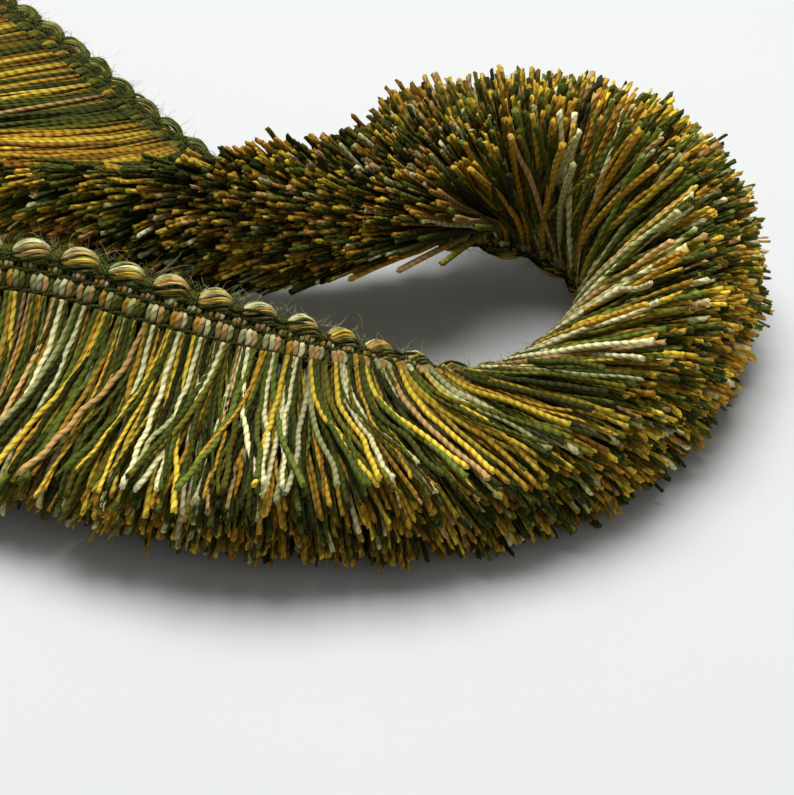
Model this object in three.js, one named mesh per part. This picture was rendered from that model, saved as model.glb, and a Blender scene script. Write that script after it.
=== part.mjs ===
// A cut length of woollen brush fringe, lying in one long hairpin fold on a table.
// A woven heading with a looped edge carries a thick skirt of cut yarns. The heading leans
// back in the near arm, stands up in the bend and tips over in the far arm, and the skirt
// fans out round the bend. Millimetres, +Z up, the table is z = 0.
import * as THREE from "three";
import { mergeVertices } from "three/addons/utils/BufferGeometryUtils.js";

// Driving dimensions of the trimming, laid flat.
const SKIRT_LENGTH = 35;
const SKIRT_THICKNESS = 4;
const HEADING_HEIGHT = 9.3;
const STRIP_HEIGHT = 1.6;
const EDGE_LOOP_HEIGHT = 3.8;
const LOOP_PITCH = 8;
const PIECE_GAP = 0.3;

// Where the middle of the piece lies, so that the origin is under its centre.
const CENTRE_X = -24.69;
const CENTRE_Y = 38.8;

// The fold, one row for each place along the strip, from the near cut end to the far one.
// x, y and z give the line where the skirt leaves the heading. The other columns are degrees.
// band turns the heading about that line: 0 lies outward, 90 stands up, 180 lies inward.
// faceRoll and backRoll turn the tips of the yarns on the heading's face and on its back
// in the same way, and faceSweep and backSweep lean them forward along the strip.
const COLUMNS = ["x", "y", "z", "band", "faceRoll", "faceSweep", "backRoll", "backSweep"];
const FOLD = [
  [-82, 12, 30, -52, -36, -9, -68, -8],
  [-72, 11, 30, -52, -34, -9, -70, -8],
  [-58, 8, 30, -50, -30, -9, -74, -7],
  [-43, 3, 28.4, -44, -16, -5, -76, -4],
  [-28, 0.6, 25, -32, 0, 2, -77, 0],
  [-12, 0, 21, -12, 10, 13, -77, 6],
  [2, 2.6, 16.6, 6, 16, 27, -66, 14],
  [12, 6.2, 13.8, 26, 28, 30, -56, 16],
  [22, 13, 12.2, 42, 38, 22, -50, 12],
  [30.4, 24.5, 11.4, 56, 50, 14, -44, 6],
  [34.6, 36.3, 11, 74, 68, 6, -42, 2],
  [33, 45, 11, 98, 90, -2, -38, 0],
  [27, 51.4, 11, 114, 108, 8, -26, 3],
  [18.5, 54, 11.6, 125, 138, 28, -4, 12],
  [9, 52.8, 12.8, 134, 184, 44, 62, 24],
  [-2, 50.6, 15, 142, 214, 44, 98, 31],
  [-14, 49.4, 18.6, 149, 234, 36, 114, 33],
  [-28, 51, 22.8, 156, 250, 18, 142, 32],
  [-42, 57.8, 26, 162, 262, 2, 166, 27],
  [-54, 70.6, 27.8, 166, 268, 0, 176, 24],
  [-65.5, 85.6, 28.4, 168, 270, 0, 180, 22],
  [-75, 97.4, 28.4, 168, 270, 0, 180, 22],
  [-84, 108, 28, 168, 268, 0, 180, 22],
];

// The skirt is parted in lengths. share is each one's share of the strip, and locks the
// number of locks side by side in each of its layers.
const SKIRT_LAYERS = 3;
const SKIRTS = [
  { share: 0.125, locks: 9 },
  { share: 0.125, locks: 9 },
  { share: 0.115, locks: 9 },
  { share: 0.08, locks: 9 },
  { share: 0.075, locks: 9 },
  { share: 0.075, locks: 9 },
  { share: 0.08, locks: 9 },
  { share: 0.1, locks: 9 },
  { share: 0.11, locks: 9 },
  { share: 0.115, locks: 9 },
];

// How a lock fills its place: the share of its width and of its thickness at root and tip.
const LOCK_WIDTH = { root: 0.86, tip: 0.58 };
const LOCK_DEPTH = { root: 0.76, tip: 0.66 };
const LOCK_STEPS = 4;
const BEND_STEPS = 12;

// How soon along a yarn its tip's direction is reached, and how high the layers stack where
// they lie on the table. LOWEST_SHARE is the share of the layers that touches the table.
const BEND_SHARE = 0.5;
const STACK_HEIGHT = 6;
const LOWEST_SHARE = 0.03;

// Half thickness of the heading across its height, from the skirt to the looped edge.
// bead is how far the woven beads of that row stand out, and odd marks the row whose
// beads sit between those of the other row.
const HEADING_SECTION = [
  { height: 0, half: 1.0, bead: 0, odd: false },
  { height: 0.28, half: 1.35, bead: 0.6, odd: false },
  { height: 0.55, half: 1.1, bead: 0, odd: false },
  { height: 0.78, half: 1.25, bead: 0.5, odd: true },
  { height: 1, half: 0.9, bead: 0, odd: false },
];
const BEAD_PITCH = LOOP_PITCH / 2;

// One loop of the edge: where along the loop, how thick there, and how far it bows out.
const EDGE_LOOP = [
  { along: 0, thick: 0.55, bow: 0 },
  { along: 0.2, thick: 0.88, bow: 0.35 },
  { along: 0.5, thick: 1.0, bow: 0.6 },
  { along: 0.8, thick: 0.88, bow: 0.35 },
];
const EDGE_SIDES = 6;

const COLOURS = {
  heading: 0x5b5a34,
  edge: 0x9a9468,
  skirt: [0x4c4f26, 0x8a7330, 0x6d6a3a, 0x9c8040],
};

function fabric(colour) {
  return new THREE.MeshStandardMaterial({ color: colour, roughness: 0.92, metalness: 0 });
}

// The fold's table read between its rows, as a smooth curve through them.
function readFold(place) {
  const last = FOLD.length - 1;
  const held = Math.min(Math.max(place, 0), last - 1e-9);
  const row = Math.floor(held);
  const f = held - row;
  const at = (index) => FOLD[Math.min(Math.max(index, 0), last)];
  const values = {};
  COLUMNS.forEach((name, column) => {
    const [a, b, c, d] = [row - 1, row, row + 1, row + 2].map((index) => at(index)[column]);
    const straight = (c - a) * f;
    const square = (2 * a - 5 * b + 4 * c - d) * f * f;
    const cube = (3 * b - a - 3 * c + d) * f * f * f;
    values[name] = 0.5 * (2 * b + straight + square + cube);
  });
  return values;
}

// Lengths along the strip, so that a place can be asked for in millimetres.
const ARC_SAMPLES = 1500;
const arc = [0];
for (let i = 1; i <= ARC_SAMPLES; i += 1) {
  const scale = (FOLD.length - 1) / ARC_SAMPLES;
  const a = readFold((i - 1) * scale);
  const b = readFold(i * scale);
  arc.push(arc[i - 1] + Math.hypot(b.x - a.x, b.y - a.y, b.z - a.z));
}
const STRIP_LENGTH = arc[ARC_SAMPLES];

function placeAt(s) {
  let low = 0;
  let high = ARC_SAMPLES;
  while (high - low > 1) {
    const middle = (low + high) >> 1;
    if (arc[middle] > s) high = middle;
    else low = middle;
  }
  const f = Math.min(Math.max((s - arc[low]) / (arc[high] - arc[low]), 0), 1);
  return ((low + f) * (FOLD.length - 1)) / ARC_SAMPLES;
}

function rootAt(s) {
  const fold = readFold(placeAt(s));
  return new THREE.Vector3(fold.x, fold.y, fold.z);
}

// The strip's own directions at s: along it, outward from the bend, and up.
function frameAt(s) {
  const reach = 1;
  const fold = readFold(placeAt(s));
  const before = rootAt(Math.max(s - reach, 0));
  const after = rootAt(Math.min(s + reach, STRIP_LENGTH));
  const along = after.sub(before).normalize();
  const outward = along.clone().cross(new THREE.Vector3(0, 0, 1)).normalize();
  const up = outward.clone().cross(along);
  return { fold, along, outward, up, root: new THREE.Vector3(fold.x, fold.y, fold.z) };
}

function directionIn(frame, rollDegrees, sweepDegrees) {
  const roll = THREE.MathUtils.degToRad(rollDegrees);
  const sweep = THREE.MathUtils.degToRad(sweepDegrees);
  const across = frame.outward.clone().multiplyScalar(Math.cos(roll));
  across.addScaledVector(frame.up, Math.sin(roll));
  return across.multiplyScalar(Math.cos(sweep)).addScaledVector(frame.along, Math.sin(sweep));
}

// A point of the heading: s along the strip, height from the skirt's roots towards the
// looped edge, and thickness from the middle towards the face.
function headingPoint(s, height, thickness) {
  const frame = frameAt(s);
  const point = frame.root.clone();
  point.addScaledVector(directionIn(frame, frame.fold.band, 0), -height);
  return point.addScaledVector(directionIn(frame, frame.fold.band + 90, 0), thickness);
}

// A point of the skirt: s along the strip, layer from 0 on the heading's back to 1 on its
// face, and reach from 0 at the root to 1 at the tip. The yarn leaves the heading straight,
// bends towards its tip's direction and comes to lie on the table where it meets it.
function skirtPoint(s, layer, reach) {
  const frame = frameAt(s);
  const { band, faceRoll, faceSweep, backRoll, backSweep } = frame.fold;
  const roll = THREE.MathUtils.lerp(backRoll, faceRoll, layer);
  const sweep = THREE.MathUtils.lerp(backSweep, faceSweep, layer);
  const point = frame.root.clone();
  point.addScaledVector(directionIn(frame, band + 90, 0), (layer - 0.5) * SKIRT_THICKNESS);
  const steps = Math.round(reach * BEND_STEPS);
  for (let i = 0; i < steps; i += 1) {
    const bent = THREE.MathUtils.smoothstep((i + 0.5) / BEND_STEPS, 0, BEND_SHARE);
    const towards = directionIn(frame, band + (roll - band) * bent, sweep * bent);
    point.addScaledVector(towards, SKIRT_LENGTH / BEND_STEPS);
  }
  const above = (band < 90 ? layer : 1 - layer) - LOWEST_SHARE;
  point.z = Math.max(point.z, above * STACK_HEIGHT, 0);
  return point;
}

// A growing list of points and triangles that ends up as one closed solid.
class Solid {
  constructor() {
    this.points = [];
    this.triangles = [];
  }

  add(point) {
    this.points.push(point.x, point.y, point.z);
    return this.points.length / 3 - 1;
  }

  quad(a, b, c, d) {
    this.triangles.push(a, b, c, a, c, d);
  }

  // The walls between two rings of points, and a flat end made as a fan.
  wall(from, to) {
    from.forEach((corner, i) => {
      const next = (i + 1) % from.length;
      this.quad(corner, from[next], to[next], to[i]);
    });
  }

  fan(ring) {
    for (let i = 1; i < ring.length - 1; i += 1) {
      this.triangles.push(ring[0], ring[i], ring[i + 1]);
    }
  }

  mesh(name, material) {
    const geometry = new THREE.BufferGeometry();
    geometry.setAttribute("position", new THREE.Float32BufferAttribute(this.points, 3));
    geometry.setIndex(this.triangles);
    const merged = mergeVertices(geometry, 1e-4);
    merged.computeVertexNormals();
    const mesh = new THREE.Mesh(merged, material);
    mesh.name = name;
    return mesh;
  }
}

// A solid swept along the strip from rings of points, closed at both ends.
function sweptSolid(places, ringAt) {
  const solid = new Solid();
  const rings = places.map((place) => ringAt(place).map((point) => solid.add(point)));
  for (let i = 1; i < rings.length; i += 1) solid.wall(rings[i], rings[i - 1]);
  solid.fan(rings[0]);
  solid.fan([...rings[rings.length - 1]].reverse());
  return solid;
}

// The woven heading, with two rows of beads raised on its face and on its back.
function makeHeading() {
  const base = STRIP_HEIGHT + PIECE_GAP;
  const height = HEADING_HEIGHT - EDGE_LOOP_HEIGHT - PIECE_GAP - base;
  const count = Math.round((2 * STRIP_LENGTH) / BEAD_PITCH);
  const places = Array.from({ length: count + 1 }, (_, i) => i);
  const solid = sweptSolid(places, (i) => {
    const s = (STRIP_LENGTH * i) / count;
    const side = (sign) => HEADING_SECTION.map((row) => {
      const raised = (i % 2 === 1) === row.odd ? row.bead : 0;
      return headingPoint(s, base + row.height * height, sign * (row.half + raised));
    });
    return [...side(1), ...side(-1).reverse()];
  });
  return solid.mesh("heading", fabric(COLOURS.heading));
}

// The looped edge: one cord that swells into a puff between its ties.
function makeEdge() {
  const radius = EDGE_LOOP_HEIGHT / 2;
  const loops = Math.round(STRIP_LENGTH / LOOP_PITCH);
  const places = [];
  for (let loop = 0; loop < loops; loop += 1) {
    EDGE_LOOP.forEach((row) => places.push({ ...row, along: (loop + row.along) / loops }));
  }
  places.push({ ...EDGE_LOOP[0], along: 1 });
  const inner = HEADING_HEIGHT - EDGE_LOOP_HEIGHT;
  const solid = sweptSolid(places, ({ along, thick, bow }) => {
    const middle = inner + radius * thick + bow * (1 - thick);
    return Array.from({ length: EDGE_SIDES }, (_, side) => {
      const turn = (2 * Math.PI * side) / EDGE_SIDES;
      const height = middle - radius * thick * Math.cos(turn);
      return headingPoint(along * STRIP_LENGTH, height, radius * thick * 1.1 * Math.sin(turn));
    });
  });
  return solid.mesh("looped_edge", fabric(COLOURS.edge));
}

// One length of the skirt: a narrow strip, and on it locks of yarn in layers. The strip's
// outer face is a net of points, and each lock grows out of its own opening in that net.
function makeSkirt(index, start, end, locks) {
  const solid = new Solid();
  const across = linesAcross(start, end, locks, LOCK_WIDTH.root);
  const through = linesAcross(0, 1, SKIRT_LAYERS, LOCK_DEPTH.root);
  const net = across.map((s) => through.map((layer) => solid.add(skirtPoint(s, layer, 0))));
  const half = SKIRT_THICKNESS / 2;
  const inner = across.map((s) => [-half, half].map((thickness) => (
    solid.add(headingPoint(s, STRIP_HEIGHT, thickness))
  )));
  const top = through.length - 1;
  for (let i = 0; i < across.length - 1; i += 1) {
    for (let j = 0; j < top; j += 1) {
      const opening = [net[i][j], net[i + 1][j], net[i + 1][j + 1], net[i][j + 1]];
      if (i % 2 === 0 && j % 2 === 0) {
        const place = { s: (across[i] + across[i + 1]) / 2, layer: (through[j] + through[j + 1]) / 2 };
        const width = (end - start) / locks;
        addLock(solid, opening, place, width);
      } else {
        solid.quad(...opening);
      }
    }
    solid.quad(net[i][top], net[i + 1][top], inner[i + 1][1], inner[i][1]);
    solid.quad(inner[i][0], inner[i + 1][0], net[i + 1][0], net[i][0]);
    solid.quad(inner[i][1], inner[i + 1][1], inner[i + 1][0], inner[i][0]);
  }
  const last = across.length - 1;
  solid.fan([inner[0][0], ...net[0], inner[0][1]]);
  solid.fan([inner[last][1], ...[...net[last]].reverse(), inner[last][0]]);
  const name = `skirt_${String(index + 1).padStart(2, "0")}`;
  return solid.mesh(name, fabric(COLOURS.skirt[index % COLOURS.skirt.length]));
}

// Where the locks and the gaps between them begin, from one end of a strip to the other.
function linesAcross(from, to, count, filled) {
  const gap = ((to - from) / count) * (1 - filled) * (count / (count - 1));
  const width = (to - from - gap * (count - 1)) / count;
  const lines = [];
  for (let i = 0; i < count; i += 1) {
    const line = from + i * (width + gap);
    lines.push(line, line + width);
  }
  return lines;
}

// One four-sided lock of yarn, from its opening in the strip to its cut end.
function addLock(solid, opening, place, width) {
  let ring = opening;
  for (let step = 1; step <= LOCK_STEPS; step += 1) {
    const reach = step / LOCK_STEPS;
    const halfWidth = (width * THREE.MathUtils.lerp(LOCK_WIDTH.root, LOCK_WIDTH.tip, reach)) / 2;
    const share = THREE.MathUtils.lerp(LOCK_DEPTH.root, LOCK_DEPTH.tip, reach);
    const halfDepth = share / (2 * SKIRT_LAYERS);
    const corners = [[-1, -1], [1, -1], [1, 1], [-1, 1]];
    const next = corners.map(([side, layer]) => solid.add(
      skirtPoint(place.s + side * halfWidth, place.layer + layer * halfDepth, reach),
    ));
    solid.wall(ring, next);
    ring = next;
  }
  solid.fan(ring);
}

const group = new THREE.Group();
group.name = "brush_fringe";
group.add(makeHeading());
group.add(makeEdge());
let start = 0;
SKIRTS.forEach(({ share, locks }, index) => {
  const end = index === SKIRTS.length - 1 ? STRIP_LENGTH : start + share * STRIP_LENGTH;
  group.add(makeSkirt(index, start + PIECE_GAP / 2, end - PIECE_GAP / 2, locks));
  start = end;
});
group.position.set(-CENTRE_X, -CENTRE_Y, 0);

export default group;
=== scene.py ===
"""The looks of a cut length of brush fringe that lies in one hairpin fold on a table.

A woven heading with a looped edge carries a thick skirt of two-ply cut yarns. The yarns,
the weft beads of the heading, the twined warps and the puffs of the edge are each made as
thin tubes along lines that follow the fold. Lengths are millimetres until a mesh is made,
and metres in the studio. Rolls, sweeps, bands and the leans of the skirt's yarns are degrees.
"""

import logging
import math
from dataclasses import dataclass, field
from enum import Enum, IntEnum
from typing import Sequence

import bpy
import numpy as np
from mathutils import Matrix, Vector


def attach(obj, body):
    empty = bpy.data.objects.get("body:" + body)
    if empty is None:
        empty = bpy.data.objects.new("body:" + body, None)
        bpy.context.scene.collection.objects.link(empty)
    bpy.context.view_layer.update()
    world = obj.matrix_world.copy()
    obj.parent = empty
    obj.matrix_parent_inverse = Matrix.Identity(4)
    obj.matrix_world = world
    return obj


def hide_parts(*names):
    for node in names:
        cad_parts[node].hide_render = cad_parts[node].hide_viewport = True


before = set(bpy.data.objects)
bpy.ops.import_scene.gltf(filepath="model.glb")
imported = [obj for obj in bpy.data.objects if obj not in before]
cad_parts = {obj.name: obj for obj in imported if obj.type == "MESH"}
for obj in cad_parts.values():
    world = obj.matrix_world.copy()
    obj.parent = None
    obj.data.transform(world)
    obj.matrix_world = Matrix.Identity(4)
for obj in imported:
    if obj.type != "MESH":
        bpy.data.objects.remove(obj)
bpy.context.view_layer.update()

BODY = "root"
METRES = 0.001
TINY = 1e-9
TURN = 2 * np.pi
PLIES = 2
LOG = logging.getLogger("brush_fringe")

Array = np.ndarray
Colour = tuple[float, float, float, float]
Pair = tuple[float, float]


class Slot(Enum):
    """The record's material slots."""

    HEADING = "heading_weave"
    EDGE = "edge_yarn"
    SKIRT = "skirt_yarn"


class Grade(IntEnum):
    """How finely a yarn of the skirt is modelled: its number of sides grows with it."""

    HIDDEN = 0
    PLAIN = 1
    TWISTED = 2


class Dye(Enum):
    """The colours that the yarns are dyed, as sRGB from 0 to 255."""

    PINE = (43, 48, 10)
    FOREST = (68, 75, 18)
    OLIVE = (108, 100, 22)
    LEAF = (100, 114, 38)
    OCHRE = (196, 148, 42)
    MUSTARD = (222, 188, 58)
    CREAM = (230, 222, 166)
    SAGE = (174, 174, 114)
    TAN = (200, 158, 98)
    RUST = (138, 96, 24)

    @property
    def place(self) -> float:
        """Where this colour stands on the ramp of dyes, from 0 to 1."""
        dyes = list(Dye)
        return (dyes.index(self) + 0.5) / len(dyes)

    @property
    def linear(self) -> Colour:
        """The colour in linear light, with its alpha."""
        channels = [c / 255 for c in self.value]
        return (*[c / 12.92 if c < 0.04 else ((c + 0.055) / 1.055) ** 2.4 for c in channels], 1.0)


def dye_table(*rows: str) -> Array:
    """Places on the ramp of dyes, from rows of the dyes' names."""
    return np.array([[Dye[name.upper()].place for name in row.split()] for row in rows])


def dye_shares(**parts: float) -> tuple[Array, Array]:
    """Places on the ramp of dyes, and how often each of them comes, with a sum of one."""
    return dye_table(" ".join(parts))[0], np.array(list(parts.values())) / sum(parts.values())


# The yarns that hang side by side under each bead of the heading, in the face of the skirt.
BUNDLES = dye_table(
    "cream sage forest tan pine",
    "mustard mustard forest cream olive",
    "sage leaf tan cream forest",
    "ochre forest mustard leaf pine",
    "tan ochre forest cream leaf",
    "cream cream leaf ochre forest",
    "mustard forest sage cream olive",
    "leaf ochre sage mustard forest",
)

# The soft strands of a puff of the edge, from the skirt's side up over its face, and then
# the dark ones down its back.
PUFF_BACK = " forest olive pine leaf forest ochre pine forest olive pine"
PUFFS = dye_table(
    "forest olive rust tan ochre tan sage cream sage cream leaf sage cream sage" + PUFF_BACK,
    "forest olive ochre mustard olive tan cream sage cream sage cream leaf sage olive" + PUFF_BACK,
    "pine olive tan tan rust sage cream cream sage leaf cream sage tan sage" + PUFF_BACK,
    "forest leaf ochre tan sage cream mustard cream sage cream sage olive cream leaf" + PUFF_BACK,
)

# The three soft wefts that show in a bead of the heading, and the dark one beside them, which
# fills the gap between beads as painted shade.
WEFT_BEADS = dye_table(
    "sage tan sage pine",
    "ochre tan cream pine",
    "tan sage tan forest",
    "ochre olive tan pine",
    "sage cream tan forest",
    "olive sage ochre pine",
    "tan tan sage pine",
    "ochre sage olive forest",
)

# The wefts that show on the heading's back.
BACK_BEADS = dye_table(
    "olive forest pine pine",
    "forest ochre forest pine",
    "pine olive leaf forest",
    "forest forest olive pine",
)

# How often each colour comes in the layer just under the face, in the layers of the back,
# and in those between.
UNDER_SHARES = dye_shares(
    pine=0.22, forest=0.3, olive=0.12, leaf=0.14, ochre=0.09, mustard=0.06, cream=0.04, sage=0.03,
)
BACK_SHARES = dye_shares(
    pine=0.12, forest=0.2, olive=0.18, ochre=0.26, mustard=0.12, tan=0.04, rust=0.08,
)
DEEP_SHARES = dye_shares(
    pine=0.14, forest=0.14, olive=0.13, leaf=0.04, ochre=0.22,
    mustard=0.14, cream=0.04, sage=0.03, tan=0.05, rust=0.07,
)


def unit(vectors: Array) -> Array:
    """The same vectors at length one."""
    return vectors / np.maximum(np.linalg.norm(vectors, axis=-1, keepdims=True), TINY)


def smooth(values: Array) -> Array:
    """Eases values from 0 to 1, flat at both ends."""
    held = np.clip(values, 0, 1)
    return held * held * (3 - 2 * held)


def scrambled(phase: Array, times: int) -> Array:
    """A value from 0 to 1 that looks free of the phase that it is made from."""
    return (phase * times) % 1


def bundle_of(bead: Array) -> Array:
    """Which bundle of yarns hangs under each bead, in a broken order."""
    return (bead * 5 + (bead // 3) * 3 + (bead // 7)) % len(BUNDLES)


def puff_of(loop: Array) -> Array:
    """Which set of strands each puff of the edge has, in a broken order."""
    return (loop * 3 + loop // 4) % len(PUFFS)


def catmull_rom(rows: Array, places: Array) -> Array:
    """Reads a table between its rows as a smooth curve through them.

    Args:
        rows: one row of values for each whole place.
        places: the places to read at, from 0 to the last row.

    Returns:
        One row of values for each place.
    """
    held = np.clip(places, 0, len(rows) - 1 - TINY)
    index = np.floor(held).astype(int)
    f = (held - index)[..., None]
    a, b, c, d = (rows[np.clip(index + step, 0, len(rows) - 1)] for step in (-1, 0, 1, 2))
    square = (2 * a - 5 * b + 4 * c - d) * f * f
    cube = (3 * b - a - 3 * c + d) * f * f * f
    return 0.5 * (2 * b + (c - a) * f + square + cube)


def drifting(rng: np.random.Generator, places: Array, spacing: float, spread: float) -> Array:
    """Random values that change slowly along the strip.

    Args:
        rng: the source of chance.
        places: where to read the values, in millimetres.
        spacing: how far apart the values are free of each other.
        spread: their standard deviation.

    Returns:
        One value for each place.
    """
    # The curve reads one knot before each place and two after it.
    knots = rng.normal(0, spread, int(np.max(places) / spacing) + 4)
    return catmull_rom(knots[:, None], places / spacing + 1)[..., 0]


def set_values(mesh: bpy.types.Mesh, name: str, values: Array) -> None:
    """Keeps one number on each point of a mesh, for its finish to read."""
    mesh.attributes.new(name, "FLOAT", "POINT").data.foreach_set("value", values.astype(np.float32))


def placed(name: str, data: bpy.types.ID) -> bpy.types.Object:
    """Puts a new object in the scene.

    Args:
        name: the object's name.
        data: its mesh, light or camera.

    Returns:
        The new object.
    """
    thing = bpy.data.objects.new(name, data)
    bpy.context.scene.collection.objects.link(thing)
    return thing


def settle(piece: bpy.types.Object, slot: Slot, *nodes: str) -> None:
    """Rides a piece on the body, and hides the nodes that it stands for.

    Args:
        piece: the finished piece.
        slot: its material slot; not used.
        nodes: the solids that it replaces.
    """
    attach(piece, BODY)
    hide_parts(*nodes)
    LOG.info("%s: %d triangles", piece.name, len(piece.data.loops) - 2 * len(piece.data.polygons))


@dataclass(frozen=True)
class Station:
    """The strip's own directions at many places, one row of each array for each place."""

    root: Array
    along: Array
    outward: Array
    up: Array
    band: Array
    face_roll: Array
    face_sweep: Array
    back_roll: Array
    back_sweep: Array

    @property
    def opening(self) -> Array:
        """How many degrees the skirt opens between its face and its back."""
        return np.abs(self.face_roll - self.back_roll)

    def direction(self, roll: Array, sweep: Array | float = 0.0) -> Array:
        """Turns degrees into directions.

        Args:
            roll: degrees about the strip, from straight outward towards up.
            sweep: degrees along the strip.

        Returns:
            One direction for each roll.
        """
        turn = np.radians(roll)[..., None]
        aside = np.radians(sweep * np.ones_like(roll))[..., None]
        across = self.outward * np.cos(turn) + self.up * np.sin(turn)
        return across * np.cos(aside) + self.along * np.sin(aside)


@dataclass(frozen=True)
class Fold:
    """How the strip lies. Each row gives the line where the skirt leaves the heading as
    x, y, z, then degrees: band turns the heading about that line, and the yarns' tips on the
    face and on the back each have a roll about the strip and a sweep along it."""

    rows: tuple[tuple[float, ...], ...] = (
        (-82, 12, 30, -52, -36, -9, -68, -8),
        (-72, 11, 30, -52, -34, -9, -70, -8),
        (-58, 8, 30, -50, -30, -9, -74, -7),
        (-43, 3, 28.4, -44, -16, -5, -76, -4),
        (-28, 0.6, 25, -32, 0, 2, -77, 0),
        (-12, 0, 21, -12, 10, 13, -77, 6),
        (2, 2.6, 16.6, 6, 16, 27, -66, 14),
        (12, 6.2, 13.8, 26, 28, 30, -56, 16),
        (22, 13, 12.2, 42, 38, 22, -50, 12),
        (30.4, 24.5, 11.4, 56, 50, 14, -44, 6),
        (34.6, 36.3, 11, 74, 68, 6, -42, 2),
        (33, 45, 11, 98, 90, -2, -38, 0),
        (27, 51.4, 11, 114, 108, 8, -26, 3),
        (18.5, 54, 11.6, 125, 138, 34, -4, 16),
        (9, 52.8, 12.8, 134, 184, 62, 62, 38),
        (-2, 50.6, 15, 142, 214, 64, 98, 46),
        (-14, 49.4, 18.6, 149, 234, 52, 114, 42),
        (-28, 51, 22.8, 156, 250, 18, 142, 32),
        (-42, 57.8, 26, 162, 262, 2, 166, 27),
        (-54, 70.6, 27.8, 166, 268, 0, 176, 24),
        (-65.5, 85.6, 28.4, 168, 270, 0, 180, 22),
        (-75, 97.4, 28.4, 168, 270, 0, 180, 22),
        (-84, 108, 28, 168, 268, 0, 180, 22),
    )
    centre: tuple[float, float, float] = (-24.69, 38.8, 0.0)
    skirt_length: float = 35.0
    skirt_thickness: float = 4.0
    samples: int = 3000
    tangent_reach: float = 1.0

    def arc(self) -> tuple[Array, Array]:
        """Measures the strip along its root.

        Returns:
            The places of the samples in the table, and how far along the strip each one is.
        """
        places = np.linspace(0, len(self.rows) - 1, self.samples + 1)
        points = catmull_rom(np.array(self.rows, float), places)[:, :3]
        steps = np.linalg.norm(np.diff(points, axis=0), axis=1)
        return places, np.concatenate([[0], np.cumsum(steps)])

    @property
    def length(self) -> float:
        """The strip's length along the skirt's root."""
        return float(self.arc()[1][-1])

    def at(self, s: Array) -> Station:
        """Reads the fold at many places at once.

        Args:
            s: how far along the strip.

        Returns:
            The strip's directions there.
        """
        table = np.array(self.rows, float)
        places, arc = self.arc()
        here, before, after = (
            catmull_rom(table, np.interp(s + step, arc, places))
            for step in (0.0, -self.tangent_reach, self.tangent_reach)
        )
        along = unit(after[..., :3] - before[..., :3])
        outward = unit(np.cross(along, [0.0, 0.0, 1.0]))
        columns = [here[..., column] for column in range(3, here.shape[-1])]
        return Station(here[..., :3], along, outward, np.cross(outward, along), *columns)

    def middle(self) -> Station:
        """The strip's directions halfway along it."""
        return self.at(np.array([self.length / 2]))

    def heading_points(self, s: Array, height: Array, thickness: Array) -> Array:
        """Points of the heading.

        Args:
            s: how far along the strip.
            height: how far from the skirt's roots towards the looped edge.
            thickness: how far from the middle towards the face.

        Returns:
            One point for each s.
        """
        here = self.at(s)
        raised = here.direction(here.band) * -np.asarray(height)[..., None]
        return here.root + raised + here.direction(here.band + 90) * np.asarray(thickness)[..., None]

    def in_scene(self, points: Array) -> Array:
        """The same points in metres, about the part's own origin."""
        return (points - np.array(self.centre)) * METRES


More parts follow.
